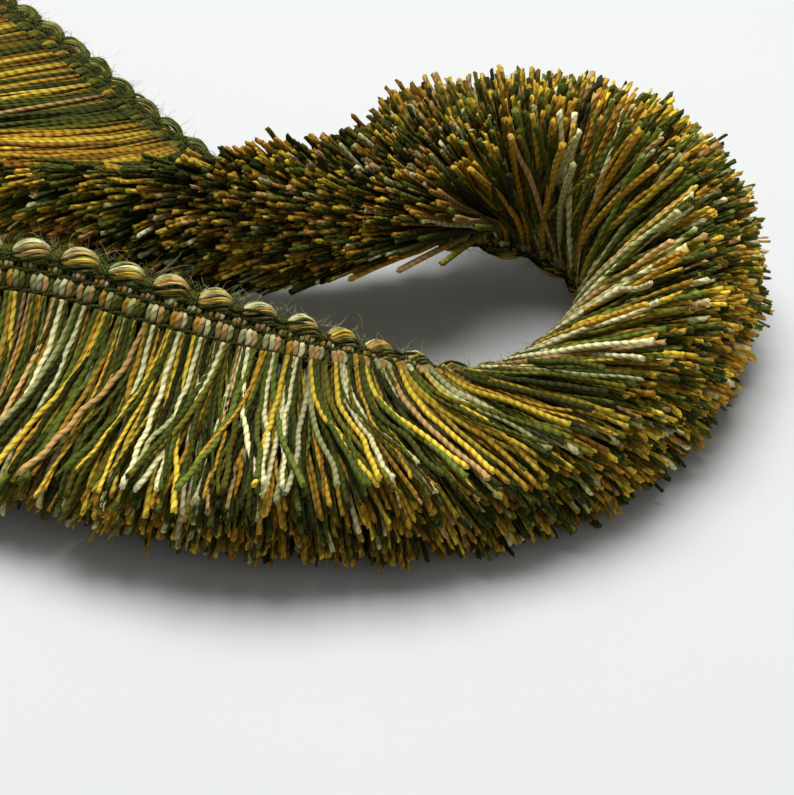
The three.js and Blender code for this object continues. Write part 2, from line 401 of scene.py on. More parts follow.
@dataclass
class Tubes:
    """Many thin tubes gathered into one mesh, with what their finish needs on each point.
    dome is how far the middle of each end stands out, in radii."""

    fold: Fold
    dome: float = 0.3
    points: list[Array] = field(default_factory=list)
    quads: list[Array] = field(default_factory=list)
    caps: list[Array] = field(default_factory=list)
    uvs: list[Array] = field(default_factory=list)
    cap_uvs: list[Array] = field(default_factory=list)
    values: dict[str, list[Array]] = field(default_factory=lambda: {"dye": [], "tone": [], "along": []})
    count: int = 0

    def add(
        self,
        lines: Array,
        radii: Array | float,
        hints: Array,
        dye: Array | float,
        tone: Array | float,
        sides: int,
        twist_pitch: float = 0.0,
        flatness: float = 0.0,
        phase: Array | float = 0.0,
        along: Pair = (1.0, 1.0),
        fray: Array | None = None,
    ) -> None:
        """Adds one tube for each line.

        Args:
            lines: points of the middle lines, as tubes by rings by three.
            radii: the radius at each ring of each tube.
            hints: for each tube, a direction that isn't along it.
            dye: each tube's place on the ramp of dyes.
            tone: how much lighter or darker each tube is than its dye.
            sides: how many sides each tube has.
            twist_pitch: how far along the tube its section turns once, or 0 for no turn.
            flatness: how much flatter the section is one way than the other.
            phase: how far each tube's section is turned at its start, in turns.
            along: the values that the attribute along has at the start and at the end, which the
                yarn finish reads for its painted shade towards the root.
            fray: how far each corner of a tube's last ring, and last its middle, are drawn out.
        """
        tubes, rings = lines.shape[:2]
        radii = np.broadcast_to(radii, (tubes, rings))
        start = np.broadcast_to(phase, tubes)[:, None]
        tangent = unit(np.gradient(lines, axis=1))
        across = unit(np.cross(tangent, hints[:, None, :]))
        inward = np.cross(across, tangent)
        steps = np.linalg.norm(np.diff(lines, axis=1), axis=2)
        reach = np.concatenate([np.zeros((tubes, 1)), np.cumsum(steps, axis=1)], axis=1)
        turned = reach / twist_pitch if twist_pitch else np.zeros_like(reach)
        side = np.arange(sides) / sides
        angle = TURN * (side[None, None] + (turned + start)[..., None])
        spread = radii[..., None] * (1 - flatness * np.sin(TURN * side) ** 2)
        ring = (
            lines[:, :, None]
            + (spread * np.cos(angle))[..., None] * across[:, :, None]
            + (spread * np.sin(angle))[..., None] * inward[:, :, None]
        )
        first = lines[:, 0] - tangent[:, 0] * radii[:, :1] * self.dome
        last = lines[:, -1] + tangent[:, -1] * radii[:, -1:] * self.dome
        if fray is not None:
            ring[:, -1] += fray[:, :-1, None] * tangent[:, -1:]
            last += fray[:, -1:] * tangent[:, -1]
        body = ring.reshape(tubes, rings * sides, 3)
        self.points.append(np.concatenate([body, first[:, None], last[:, None]], axis=1).reshape(-1, 3))
        each = rings * sides + 2
        base = self.count + np.arange(tubes) * each
        self._add_walls(base, sides, turned if twist_pitch else np.repeat(start, rings, axis=1), reach)
        self._add_caps(base, sides, reach)
        share = np.linspace(*along, rings)[:, None] * np.ones(sides)
        self.values["along"].append(np.tile(np.concatenate([share.ravel(), along]), tubes))
        for key, value in (("dye", dye), ("tone", tone)):
            self.values[key].append(np.repeat(np.broadcast_to(value, tubes), each))
        self.count += tubes * each

    def _add_walls(self, base: Array, sides: int, offset: Array, reach: Array) -> None:
        """Adds the walls between rings, and their map: turns round the tube, and millimetres.

        Args:
            base: the number of each tube's first point.
            sides: how many sides each tube has.
            offset: the turns at the first corner of each ring.
            reach: how far along the tube each ring is.
        """
        r, k = np.meshgrid(np.arange(reach.shape[1] - 1), np.arange(sides), indexing="ij")
        r, k = r.ravel(), k.ravel()
        here, beside = r * sides + k, r * sides + (k + 1) % sides
        one = np.stack([here, beside, beside + sides, here + sides], -1)
        self.quads.append((base[:, None, None] + one[None]).reshape(-1, 4))
        u = [offset[:, r] + k / sides, offset[:, r] + (k + 1) / sides]
        u += [offset[:, r + 1] + (k + 1) / sides, offset[:, r + 1] + k / sides]
        v = [reach[:, r], reach[:, r], reach[:, r + 1], reach[:, r + 1]]
        self.uvs.append(np.stack([np.stack(u, -1), np.stack(v, -1)], -1).reshape(-1, 2))

    def _add_caps(self, base: Array, sides: int, reach: Array) -> None:
        """Closes both ends of each tube with a low dome of triangles.

        Args:
            base: the number of each tube's first point.
            sides: how many sides each tube has.
            reach: how far along the tube each ring is.
        """
        k = np.arange(sides)
        following = (k + 1) % sides
        rings = reach.shape[1]
        ends = (rings - 1) * sides
        near = np.stack([following, k, np.full(sides, rings * sides)], -1)
        far = np.stack([ends + k, ends + following, np.full(sides, rings * sides + 1)], -1)
        one = np.concatenate([near, far])
        self.caps.append((base[:, None, None] + one[None]).reshape(-1, 3))
        u = np.concatenate([np.stack([(k + 1) / sides, k / sides, (k + 0.5) / sides], -1)] * 2)
        far_v = np.repeat(reach[:, -1:], sides * 3, axis=1).reshape(-1, sides, 3)
        v = np.concatenate([np.zeros_like(far_v), far_v], axis=1)
        self.cap_uvs.append(np.stack([np.broadcast_to(u, v.shape), v], -1).reshape(-1, 2))

    def piece(self, name: str, material: bpy.types.Material) -> bpy.types.Object:
        """Makes the mesh, as an object in the scene. No point lies below the table.

        Args:
            name: the piece's name.
            material: its finish.

        Returns:
            The new object.
        """
        points = self.fold.in_scene(np.concatenate(self.points))
        points[:, 2] = np.maximum(points[:, 2], 0)
        quads, caps = np.concatenate(self.quads), np.concatenate(self.caps)
        corners = np.concatenate([quads.ravel(), caps.ravel()]).astype(np.int32)
        starts = [np.arange(len(quads)) * 4, len(quads) * 4 + np.arange(len(caps)) * 3]
        starts = np.concatenate(starts).astype(np.int32)
        mesh = bpy.data.meshes.new(name)
        mesh.vertices.add(len(points))
        mesh.vertices.foreach_set("co", points.astype(np.float32).ravel())
        mesh.loops.add(len(corners))
        mesh.loops.foreach_set("vertex_index", corners)
        mesh.polygons.add(len(starts))
        mesh.polygons.foreach_set("loop_start", starts)
        mesh.update(calc_edges=True)
        mesh.polygons.foreach_set("use_smooth", np.ones(len(starts), bool))
        uvs = np.concatenate(self.uvs + self.cap_uvs).astype(np.float32)
        mesh.uv_layers.new(name="yarn").data.foreach_set("uv", uvs.ravel())
        for key, parts in self.values.items():
            set_values(mesh, key, np.concatenate(parts))
        mesh.materials.append(material)
        mesh.validate()
        return placed(name, mesh)


class NodeBoard:
    """Adds shader nodes to a material and joins them."""

    def __init__(self, name: str) -> None:
        """Starts an empty material.

        Args:
            name: the material's name.
        """
        self.material = bpy.data.materials.new(name)
        self.material.use_nodes = True
        self.tree = self.material.node_tree
        self.tree.nodes.clear()

    def add(self, kind: str, inputs: dict | None = None, **settings: object) -> bpy.types.Node:
        """Adds a node.

        Args:
            kind: the node's type.
            inputs: values or sockets for its inputs, by name or number.
            settings: values for its own properties.

        Returns:
            The new node.
        """
        node = self.tree.nodes.new(kind)
        for key, value in settings.items():
            setattr(node, key, value)
        for key, value in (inputs or {}).items():
            if isinstance(value, bpy.types.NodeSocket):
                self.tree.links.new(value, node.inputs[key])
            else:
                node.inputs[key].default_value = value
        return node

    def math(self, operation: str, *values: object, clamp: bool = False) -> bpy.types.NodeSocket:
        """Adds a sum on numbers or sockets and gives its result."""
        inputs = dict(enumerate(values))
        return self.add("ShaderNodeMath", inputs, operation=operation, use_clamp=clamp).outputs[0]

    def spread(self, value: object, low: float, high: float) -> bpy.types.NodeSocket:
        """Spreads a value from 0 to 1 over a range from low to high."""
        inputs = {"Value": value, "To Min": low, "To Max": high}
        return self.add("ShaderNodeMapRange", inputs).outputs["Result"]

    def attribute(self, name: str) -> bpy.types.NodeSocket:
        """Reads a number from the mesh."""
        return self.add("ShaderNodeAttribute", attribute_name=name).outputs["Fac"]

    def noise(self, place: object, scale: float, roughness: float = 0.5) -> bpy.types.NodeSocket:
        """Adds soft noise."""
        inputs = {"Vector": place, "Scale": scale, "Detail": 2.0, "Roughness": roughness}
        return self.add("ShaderNodeTexNoise", inputs).outputs["Fac"]

    def scaled(self, colour: object, light: object) -> bpy.types.NodeSocket:
        """Makes a colour lighter or darker."""
        return self.add("ShaderNodeVectorMath", {0: colour, "Scale": light}, operation="SCALE").outputs[0]

    def dyed(self) -> bpy.types.NodeSocket:
        """The dyes as bands of one ramp, read by the mesh's dye.

        Returns:
            The colour.
        """
        node = self.add("ShaderNodeValToRGB", {"Fac": self.attribute("dye")})
        node.color_ramp.interpolation = "CONSTANT"
        stops = node.color_ramp.elements
        dyes = list(Dye)
        while len(stops) < len(dyes):
            stops.new(1.0)
        for index, dye in enumerate(dyes):
            stops[index].position = index / len(dyes)
            stops[index].color = dye.linear
        return node.outputs["Color"]

    def finished(
        self, colour: object, roughness: float, specular: float, **more: object
    ) -> bpy.types.Material:
        """Adds the shader and the output.

        Args:
            colour: the base colour.
            roughness: how matt the surface is.
            specular: how strong its plain reflection is.
            more: further inputs of the shader, with _ for each space in their names.

        Returns:
            The material.
        """
        inputs = {"Base Color": colour, "Roughness": roughness, "Specular IOR Level": specular}
        inputs.update({key.replace("_", " "): value for key, value in more.items()})
        shader = self.add("ShaderNodeBsdfPrincipled", inputs)
        self.add("ShaderNodeOutputMaterial", {"Surface": shader.outputs[0]})
        return self.material


@dataclass(frozen=True)
class YarnFinish:
    """Matt spun yarn of two plies, dyed by the colour on the mesh. fibre_scale is how close
    the streaks of fibre lie round the yarn and along it, and how they change from yarn to yarn."""

    name: str
    ply_pitch: float = -3.8
    shade: float = 1.0
    groove_painted_shade: float = 0.38
    groove_shape: float = 0.5
    ply_bump: float = 0.00016
    fibre_bump: float = 0.00006
    fibre_light: float = 0.5
    fibre_scale: tuple[float, float, float] = (9.0, 1.1, 31.0)
    fibre_roughness: float = 0.6
    roughness: float = 0.9
    sheen: float = 0.05
    sheen_roughness: float = 0.5
    sheen_tint: Colour = (0.85, 0.75, 0.45, 1.0)
    specular: float = 0.04
    root_painted_shade: float = 0.5
    root_fade: float = 0.6
    tone_spread: float = 0.3
    fleck: Dye = Dye.SAGE
    fleck_share: float = 0.08
    fleck_range: Pair = (-0.6, 1.6)

    def material(self) -> bpy.types.Material:
        """Builds the finish: the plies' grooves, bumped and with painted shade in them, streaks of
        fibre, flecks, painted shade towards the root, and a soft sheen.

        Returns:
            The material.
        """
        board = NodeBoard(self.name)
        uv = board.add("ShaderNodeUVMap", uv_map="yarn").outputs["UV"]
        split = board.add("ShaderNodeSeparateXYZ", {0: uv})
        u, v = split.outputs["X"], split.outputs["Y"]
        turn = board.math("MULTIPLY_ADD", v, -1 / self.ply_pitch, u)
        wave = board.math("COSINE", board.math("MULTIPLY", turn, 2 * math.pi * PLIES))
        half = board.math("MULTIPLY_ADD", wave, 0.5, 0.5, clamp=True)
        ply = board.math("POWER", half, self.groove_shape)
        tone = board.attribute("tone")
        steps = zip("XYZ", (turn, v, tone), self.fibre_scale)
        place = {axis: board.math("MULTIPLY", value, scale) for axis, value, scale in steps}
        place = board.add("ShaderNodeCombineXYZ", place).outputs[0]
        fibre = board.noise(place, 1.0, self.fibre_roughness)
        flecks = board.spread(fibre, *self.fleck_range)
        dyed = board.add("ShaderNodeMix", {
            0: board.math("MULTIPLY", flecks, self.fleck_share, clamp=True),
            6: board.dyed(),
            7: self.fleck.linear,
        }, data_type="RGBA").outputs[2]
        streak = board.spread(fibre, 1 - self.fibre_light, 1 + self.fibre_light)
        # Painted shade: the grooves between the plies are darker.
        light = board.math("MULTIPLY", board.spread(ply, 1 - self.groove_painted_shade, 1.0), streak)
        light = board.math("MULTIPLY", light, board.math("MULTIPLY_ADD", tone, self.tone_spread, 1.0))
        # Painted shade: darker towards the start of each tube, by the mesh's along: the skirt's yarns at
        # their roots, the beads at their low end.
        rooted = board.math("POWER", board.attribute("along"), self.root_fade, clamp=True)
        light = board.math("MULTIPLY", light, board.spread(rooted, self.root_painted_shade * self.shade, self.shade))
        normal = None
        for height, depth in ((ply, self.ply_bump), (fibre, self.fibre_bump)):
            inputs = {"Strength": 1.0, "Distance": depth, "Height": height}
            inputs.update({"Normal": normal} if normal else {})
            normal = board.add("ShaderNodeBump", inputs).outputs[0]
        return board.finished(
            board.scaled(dyed, light),
            self.roughness,
            self.specular,
            Sheen_Weight=self.sheen,
            Sheen_Roughness=self.sheen_roughness,
            Sheen_Tint=self.sheen_tint,
            Normal=normal,
        )


@dataclass(frozen=True)
class HairFinish:
    """Matt loose fibres, dyed by the mesh, and lighter or darker by its tone."""

    name: str
    shade: float = 0.7
    tone_spread: float = 0.4
    roughness: float = 0.6
    specular: float = 0.3

    def material(self) -> bpy.types.Material:
        """Builds the finish.

        Returns:
            The material.
        """
        board = NodeBoard(self.name)
        light = board.math("MULTIPLY_ADD", board.attribute("tone"), self.tone_spread, self.shade)
        return board.finished(board.scaled(board.dyed(), light), self.roughness, self.specular)


@dataclass(frozen=True)
class FloorFinish:
    """A plain pale table top with a very faint unevenness."""

    name: str = "pale_table"
    colour: tuple[float, float, float] = (0.625, 0.637, 0.632)
    grain: float = 9.0
    uneven: float = 0.015
    roughness: float = 0.7
    specular: float = 0.2

    def material(self) -> bpy.types.Material:
        """Builds the finish.

        Returns:
            The material.
        """
        board = NodeBoard(self.name)
        noise = board.noise(board.add("ShaderNodeTexCoord").outputs["Object"], self.grain)
        light = board.spread(noise, 1 - self.uneven, 1 + self.uneven)
        return board.finished(board.scaled(self.colour, light), self.roughness, self.specular)


@dataclass
class Skirt:
    """The thick skirt of cut yarns, in ten lengths as the part has it. Layer 0 is its back.
    The tables trims and painted_light_by_place are read by how far along the strip a yarn is:
    how much longer it is cut, and the painted light and shade of the yarns behind the face:
    painted shade in the near arm and the back of the bend, painted light on the bend's right side."""

    fold: Fold
    finish: YarnFinish
    seed: int = 11
    shares: tuple[float, ...] = (0.125, 0.125, 0.115, 0.08, 0.075, 0.075, 0.08, 0.1, 0.11, 0.115)

    # How many yarns there are and where they leave the heading. Where the skirt opens by more
    # than the first number of degrees in crowd_fan, more yarns fill it, up to all of crowd.
    bead_pitch: float = 4.0
    yarns_per_bead: int = 5
    bunch_share: float = 0.72
    place_spread: float = 0.28
    layers: int = 16
    depth_room: Pair = (0.1, 0.9)
    depth_limits: Pair = (0.02, 0.98)
    missing_share: float = 0.28
    crowd: int = 10800
    crowd_fan: Pair = (60.0, 70.0)

    # How thick, long and light they are.
    thick_radius: float = 0.56
    thin_radius: float = 0.36
    thin_share: float = 0.42
    radius_spread: float = 0.07
    deep_narrowing: float = 0.82
    root_narrowing: float = 0.75
    root_growth: float = 5.0
    cut_margin: float = 0.8
    length_spread: float = 1.2
    stray_share: float = 0.04
    stray_extra: float = 3.0
    trims: tuple[Pair, ...] = (
        (104, 0), (112, -1.5), (131, -1.8), (138, 0), (146, 1.5),
        (154, 0), (164, -2), (178, -3), (206, -2), (222, 0),
    )
    # Painted light and shade on the yarns behind the face, by place along the strip: darker where the face
    # and the fold shade them, lighter where the bend's right side faces the light.
    painted_light_by_place: tuple[Pair, ...] = (
        (0, -1.1), (98, -0.9), (114, 0.3), (150, 0.3),
        (164, -1.3), (205, -1.3), (225, -0.2), (300, -0.2),
    )
    face_tone: float = 0.25
    tone_spread: float = 0.5
    tone_limit: float = 1.5
    single_share: float = 0.5
    back_layers: int = 2

    # How they lean, fan out, wander and come to rest. Where the face's roll passes hanging[0]
    # the yarns hang combed from the far arm. Where the heading's band passes tipped[0] it tips
    # over, so that the back comes to lie on top. Both are full the second number of degrees on.
    lean_spread: float = 6.0
    lean_fan: float = 0.075
    root_lean: float = 0.35
    bend_share: float = 0.5
    bunch_lean: float = 4.5
    bunch_turn: float = 4.0
    bunch_spacing: float = 2.6
    bunch_layers: int = 3
    roll_spread: Pair = (1.5, 0.055)
    hanging: Pair = (150.0, 40.0)
    hanging_calm: float = 0.7
    combed: float = 0.75
    sag: float = 0.075
    wave: float = 0.36
    wave_cycles: Pair = (0.6, 1.2)
    wave_share: Pair = (0.3, 1.4)
    wave_growth: float = 1.5
    lift_share: float = 0.6
    lift_cycles: float = 1.3
    kink: float = 0.2
    kink_cycles: float = 3.0
    kink_growth: float = 3.0
    tipped: Pair = (75.0, 30.0)
    stack_height: float = 6.0
    lowest_share: float = 0.03
    bed_softness: float = 0.8
    bed_reach: float = 6.0

    # How finely they are modelled. On yarns without modelled plies, the last ring but one
    # stands at end_ring of the length.
    line_steps: int = 24
    plain_rings: tuple[int, int] = (5, 7)
    end_ring: float = 0.955
    least_sides: int = 4
    twist_pitch: float = -3.8
    rings_per_turn: int = 6
    twist_flatness: float = 0.22
    twisted_above: float = 0.9
    twisted_to: float = 140.0
    plain_above: float = 0.83
    cut_flare: float = 0.12
    flare_range: Pair = (0.3, 1.5)
    flare_place: Pair = (0.9, 0.07)
    cut_fray: float = 0.5

    def yarns(self, rng: np.random.Generator) -> dict[str, Array]:
        """Lays out every yarn: where it leaves the heading, how it leans and how it looks.

        Args:
            rng: the source of chance.

        Returns:
            One array for each of the yarns' properties.
        """
        columns = int(self.fold.length / self.bead_pitch) * self.yarns_per_bead
        column, layer = self.rows(rng, columns)
        pitch = self.fold.length / columns
        count = len(column)
        place = column % self.yarns_per_bead - (self.yarns_per_bead - 1) / 2
        centre = (column // self.yarns_per_bead + 0.5) * self.yarns_per_bead
        s = (centre + place * self.bunch_share + rng.normal(0, self.place_spread, count)) * pitch
        s = np.clip(s, self.thick_radius, self.fold.length - self.thick_radius)
        depth = (layer + rng.uniform(*self.depth_room, count)) / self.layers
        dye = self.dyes(rng, column, layer)
        thin = (rng.random(count) < self.thin_share) & (dye != Dye.CREAM.place)
        length = self.fold.skirt_length - self.cut_margin + rng.normal(0, self.length_spread, count)
        length += np.interp(s, *np.array(self.trims, float).T)
        stray = rng.random(count) < self.stray_share
        length += stray * rng.random(count) * self.stray_extra
        lean = rng.normal(0, self.lean_spread, count) + place * (1 - self.bunch_share) * self.bunch_turn
        drifts = [drifting(rng, s, self.bunch_spacing, self.bunch_lean) for _ in range(self.bunch_layers)]
        lean += np.choose(layer % self.bunch_layers, drifts)
        radius = np.where(thin, self.thin_radius, self.thick_radius)
        radius = radius * rng.normal(1, self.radius_spread, count)
        here = self.fold.at(s)
        hanging = smooth((here.face_roll - self.hanging[0]) / self.hanging[1])
        fan = here.opening * depth * (1 - self.combed * hanging)
        lean = lean * (1 - self.hanging_calm * hanging) + rng.normal(0, self.lean_fan, count) * fan
        # The yarns behind the face take the painted light and shade of their place; the face keeps
        # face_tone.
        tone = np.interp(s, *np.array(self.painted_light_by_place, float).T)
        tone = np.where(layer < self.layers - 1, tone, self.face_tone)
        return {
            "s": s,
            "layer": np.clip(depth, *self.depth_limits),
            "length": length,
            "radius": radius * np.where(layer < self.layers - 2, self.deep_narrowing, 1.0),
            "lean": lean,
            "roll": rng.normal(0, 1, count) * (self.roll_spread[0] + self.roll_spread[1] * fan),
            "dye": dye,
            "tone": (tone + rng.normal(0, self.tone_spread, count)).clip(-self.tone_limit, self.tone_limit),
            "phase": rng.random(count),
            "flare": rng.uniform(*self.flare_range, count) * self.cut_flare,
            "face": layer / (self.layers - 1),
        }

    def rows(self, rng: np.random.Generator, columns: int) -> tuple[Array, Array]:
        """The column and the layer of every yarn, with more yarns where the fold fans them out.

        Args:
            rng: the source of chance.
            columns: how many columns of yarns the skirt has.

        Returns:
            The columns and the layers, one of each for each yarn.
        """
        column, layer = np.meshgrid(np.arange(columns), np.arange(self.layers), indexing="ij")
        column, layer = column.ravel(), layer.ravel()
        kept = (layer < self.layers - 1) | (rng.random(len(layer)) >= self.missing_share)
        more = rng.integers(0, columns, self.crowd)
        here = self.fold.at((more + 0.5) * self.fold.length / columns)
        least, most = self.crowd_fan
        more = more[rng.random(self.crowd) < (here.opening - least) / most]
        deep = rng.integers(0, self.layers - 2, len(more))
        return np.concatenate([column[kept], more]), np.concatenate([layer[kept], deep])

    def dyes(self, rng: np.random.Generator, column: Array, layer: Array) -> Array:
        """Colours the yarns: by the bead above on the face, and in small groups behind it.

        Args:
            rng: the source of chance.
            column: each yarn's column.
            layer: each yarn's layer.

        Returns:
            Each yarn's place on the ramp of dyes.
        """
        face = BUNDLES[bundle_of(column // self.yarns_per_bead), column % self.yarns_per_bead]
        size = (column.max() + 1, self.layers)
        under, deep, back = (
            rng.choice(places, size=size, p=shares)
            for places, shares in (UNDER_SHARES, DEEP_SHARES, BACK_SHARES)
        )
        single = rng.random(len(column)) < self.single_share
        paired = column // 2
        inner = np.where(single, deep[column, layer], deep[paired, layer])
        inner = np.where(layer < self.back_layers, back[paired, layer], inner)
        hidden = np.where(layer == self.layers - 2, under[column, layer], inner)
        return np.where(layer == self.layers - 1, face, hidden)

    def lines(self, yarns: dict[str, Array]) -> Array:
        """The middle line of each yarn, from its root to its cut end.

        Args:
            yarns: the yarns' properties.

        Returns:
            Points, as yarns by steps by three.
        """
        here = self.fold.at(yarns["s"])
        layer = yarns["layer"]
        roll = here.back_roll + (here.face_roll - here.back_roll) * layer + yarns["roll"]
        sweep = here.back_sweep + (here.face_sweep - here.back_sweep) * layer
        out = (layer - 0.5) * self.fold.skirt_thickness
        point = here.root + here.direction(here.band + 90) * out[:, None]
        step = (yarns["length"] / self.line_steps)[:, None]
        points = [point]
        for index in range(self.line_steps):
            reach = (index + 0.5) / self.line_steps
            bent = float(smooth(np.array(reach / self.bend_share)))
            lean = yarns["lean"] * (self.root_lean + (1 - self.root_lean) * bent)
            point = point + here.direction(here.band + (roll - here.band) * bent, sweep * bent + lean) * step
            points.append(point)
        lines = np.stack(points, axis=1)
        rise = np.maximum(lines[..., 2] - lines[:, :1, 2], 0)
        lines[..., 2] -= self.sag * rise**2 / self.fold.skirt_length
        return self.laid(self.waved(lines, yarns, here), yarns, here)

    def waved(self, lines: Array, yarns: dict[str, Array], here: Station) -> Array:
        """Lets each yarn wander a little from its line, more towards its tip.

        Args:
            lines: the yarns' middle lines.
            yarns: the yarns' properties.
            here: the strip's directions at their roots.

        Returns:
            The wandering lines.
        """
        reach = np.linspace(0, 1, lines.shape[1])[None]
        phase = yarns["phase"][:, None]
        cycles = self.wave_cycles[0] + self.wave_cycles[1] * scrambled(phase, 7)
        size = self.wave_share[0] + self.wave_share[1] * scrambled(phase, 17)
        wander = self.wave * smooth(reach * self.wave_growth) * size
        kinked = self.kink * smooth(reach * self.kink_growth) * scrambled(phase, 13)
        side = wander * np.sin(TURN * (reach * cycles + phase))
        side = side + kinked * np.sin(TURN * (reach * (self.kink_cycles + cycles) + phase * 5))
        lift = self.lift_share * wander * np.cos(TURN * (reach * cycles * self.lift_cycles + phase * 3))
        across = unit(np.cross(here.along, lines[:, -1] - lines[:, 0]))
        return lines + side[..., None] * here.along[:, None] + lift[..., None] * across[:, None]

    def laid(self, lines: Array, yarns: dict[str, Array], here: Station) -> Array:
        """Lets the yarns come to lie on the table and on each other.

        Args:
            lines: the yarns' middle lines.
            yarns: the yarns' properties.
            here: the strip's directions at their roots.

        Returns:
            The lines, raised where they would lie too low.
        """
        tipped = smooth((here.band - self.tipped[0]) / self.tipped[1])
        above = yarns["layer"] * (1 - tipped) + (1 - yarns["layer"]) * tipped
        lowest = ((above - self.lowest_share) * self.stack_height + yarns["radius"])[:, None]
        gap = (lines[..., 2] - lowest) / self.bed_softness
        lifted = lowest + self.bed_softness * np.logaddexp(0, gap)
        result = lines.copy()
        result[..., 2] = np.where(gap > self.bed_reach, lines[..., 2], lifted)
        return result

    def radii(self, yarns: dict[str, Array], rings: int) -> Array:
        """Draws each yarn in at its root and spreads it a little at its cut end.

        Args:
            yarns: the yarns' properties.
            rings: how many rings each one has.

        Returns:
            The radius at each ring of each yarn.
        """
        reach = np.linspace(0, 1, rings)[None]
        narrow = self.root_narrowing + (1 - self.root_narrowing) * smooth(reach * self.root_growth)
        start, over = self.flare_place
        flare = 1 + yarns["flare"][:, None] * smooth((reach - start) / over)
        return yarns["radius"][:, None] * narrow * flare

    def ring_places(self) -> list[Array]:
        """Where the rings of each grade of yarn stand on its line.

        Returns:
            One array of places for each grade, in steps of the line.
        """
        steps = self.line_steps
        ends = [steps * self.end_ring, steps]
        plain = [np.append(np.linspace(0, steps, rings)[:-1], ends) for rings in self.plain_rings]
        turns = self.fold.skirt_length / abs(self.twist_pitch)
        return [*plain, np.linspace(0, steps, round(turns * self.rings_per_turn))]

    def build(self) -> None:
        """Makes the ten lengths, with the plies modelled on the yarns that show from end to end."""
        rng = np.random.default_rng(self.seed)
        yarns = self.yarns(rng)
        lines = self.lines(yarns)
        hints = self.fold.at(yarns["s"]).along
        twisted = (yarns["face"] > self.twisted_above) & (yarns["s"] < self.twisted_to)
        plain = np.where(yarns["face"] < self.plain_above, Grade.HIDDEN, Grade.PLAIN)
        grade_of = np.where(twisted, Grade.TWISTED, plain)
        material = self.finish.material()
        ends = np.cumsum(self.shares) * self.fold.length
        length_of = np.searchsorted(ends[:-1], yarns["s"], side="right")
        for index in range(len(self.shares)):
            tubes = Tubes(self.fold)
            for grade, places in zip(Grade, self.ring_places()):
                chosen = np.flatnonzero((length_of == index) & (grade_of == grade))
                if not len(chosen):
                    continue
                mine = {key: value[chosen] for key, value in yarns.items()}
                moved = np.moveaxis(lines[chosen], 1, 0).reshape(self.line_steps + 1, -1)
                middle = catmull_rom(moved, places).reshape(len(places), -1, 3)
                sides = self.least_sides + grade
                twist = {"twist_pitch": self.twist_pitch, "flatness": self.twist_flatness}
                tubes.add(
                    np.moveaxis(middle, 0, 1),
                    self.radii(mine, len(places)),
                    hints[chosen],
                    mine["dye"],
                    mine["tone"],
                    sides,
                    phase=mine["phase"],
                    along=(0.0, 1.0),
                    fray=rng.uniform(-1, 1, (len(chosen), sides + 1)) * self.cut_fray,
                    **(twist if grade is Grade.TWISTED else {}),
                )
            piece = tubes.piece(f"skirt_yarns_{index + 1:02d}", material)
            settle(piece, Slot.SKIRT, f"skirt_{index + 1:02d}")


@dataclass(frozen=True)
class BeadRow:
    """One row of weft beads: its reach up the heading, how far its wefts stand out and their
    radius, how it is set against the row beside it, and how finely and light it is made."""

    low: float
    high: float
    stand: float
    radius: float
    offset: float
    order: int
    rings: int
    sides: int
    tone: float


